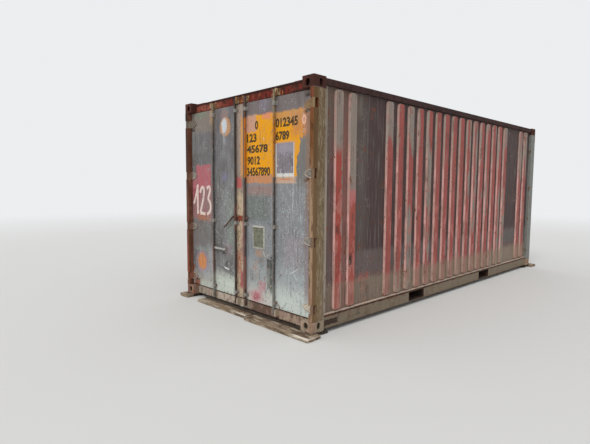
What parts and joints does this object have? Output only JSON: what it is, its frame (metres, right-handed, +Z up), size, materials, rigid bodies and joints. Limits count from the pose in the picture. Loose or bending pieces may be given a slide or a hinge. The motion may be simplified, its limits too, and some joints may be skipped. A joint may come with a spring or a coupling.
{
  "type": "twenty foot shipping container with hinged end doors, on timbers",
  "caption": "Weathered steel shipping container with ribbed sides, hinged end doors, locking bars and corner castings, standing on timbers.",
  "frame": {"origin": "middle of the container's footprint, on the ground under the timbers", "axes": "+X along the container away from the doors, +Y to the left as seen by someone facing the doors, +Z up"},
  "size_m": [6.33, 2.575, 2.631],
  "materials": {
    "casting_steel": "rusty",
    "post_paint": "rusty",
    "front_paint": "matte",
    "frame_paint": "matte",
    "rail_paint": "matte",
    "roof_paint": "matte",
    "wall_paint": "matte",
    "base_steel": "matte",
    "floor_wood": "matte",
    "timber": "matte",
    "seal_rubber": "matte",
    "door_paint": "matte",
    "keeper_steel": "matte",
    "hardware_paint": "matte",
    "pin_steel": "rusty",
    "bar_steel": "matte",
    "handle_steel": "matte"
  },
  "bodies": {
    "container": {"bottom_castings": "casting_steel", "top_castings": "casting_steel", "left_door_post": "post_paint", "right_door_post": "post_paint", "left_front_post": "front_paint", "right_front_post": "front_paint", "door_header": "frame_paint", "door_sill": "frame_paint", "door_stops": "frame_paint", "front_top_rail": "front_paint", "front_bottom_rail": "front_paint", "left_top_rail": "rail_paint", "right_top_rail": "rail_paint", "left_bottom_rail": "rail_paint", "right_bottom_rail": "rail_paint", "roof_panel": "roof_paint", "roof_end_plates": "frame_paint", "left_side_wall": "wall_paint", "right_side_wall": "wall_paint", "front_wall": "front_paint", "floor_boards": "floor_wood", "cross_members": "base_steel", "fork_pockets": "base_steel", "header_keepers": "keeper_steel", "sill_keepers": "keeper_steel", "hinge_pins": "pin_steel", "door_end_timbers": "timber", "front_end_timbers": "timber"},
    "left_door": {"left_door_frame": "door_paint", "left_door_panel": "door_paint", "left_door_seal": "seal_rubber", "left_door_hinges": "hardware_paint", "left_bar_guides": "hardware_paint", "handle_catch": "keeper_steel"},
    "right_door": {"right_door_frame": "door_paint", "right_door_panel": "door_paint", "right_door_seal": "seal_rubber", "right_door_hinges": "hardware_paint", "right_bar_guides": "hardware_paint"},
    "bar_1": {"locking_bar_1": "bar_steel"},
    "bar_2": {"locking_bar_2": "bar_steel"},
    "bar_3": {"locking_bar_3": "bar_steel"},
    "bar_4": {"locking_bar_4": "bar_steel"},
    "handle_1": {"door_handle_1": "handle_steel"},
    "handle_2": {"door_handle_2": "handle_steel"}
  },
  "joints": [
    {"name": "left_door_swing", "type": "hinge", "parent": "container", "child": "left_door", "pos_m": [-3.013, 1.203, 1.34], "axis": [0, 0, -1], "range_deg": [0, 270]},
    {"name": "right_door_swing", "type": "hinge", "parent": "container", "child": "right_door", "pos_m": [-3.013, -1.203, 1.34], "axis": [0, 0, 1], "range_deg": [0, 270]},
    {"name": "bar_1_turn", "type": "hinge", "parent": "left_door", "child": "bar_1", "pos_m": [-2.987, 0.61, 1.34], "axis": [0, 0, 1], "range_deg": [-110, 0]},
    {"name": "bar_2_turn", "type": "hinge", "parent": "left_door", "child": "bar_2", "pos_m": [-2.987, 0.13, 1.34], "axis": [0, 0, -1], "range_deg": [-110, 0]},
    {"name": "bar_3_turn", "type": "hinge", "parent": "right_door", "child": "bar_3", "pos_m": [-2.987, -0.062, 1.34], "axis": [0, 0, 1], "range_deg": [-110, 0]},
    {"name": "bar_4_turn", "type": "hinge", "parent": "right_door", "child": "bar_4", "pos_m": [-2.987, -0.58, 1.34], "axis": [0, 0, -1], "range_deg": [-110, 0]},
    {"name": "handle_1_lift", "type": "hinge", "parent": "bar_1", "child": "handle_1", "pos_m": [-2.987, 0.568, 0.74], "axis": [-1, 0, 0], "range_deg": [0, 80]},
    {"name": "handle_2_lift", "type": "hinge", "parent": "bar_2", "child": "handle_2", "pos_m": [-2.987, 0.172, 1.16], "axis": [1, 0, 0], "range_deg": [0, 75]}
  ]
}
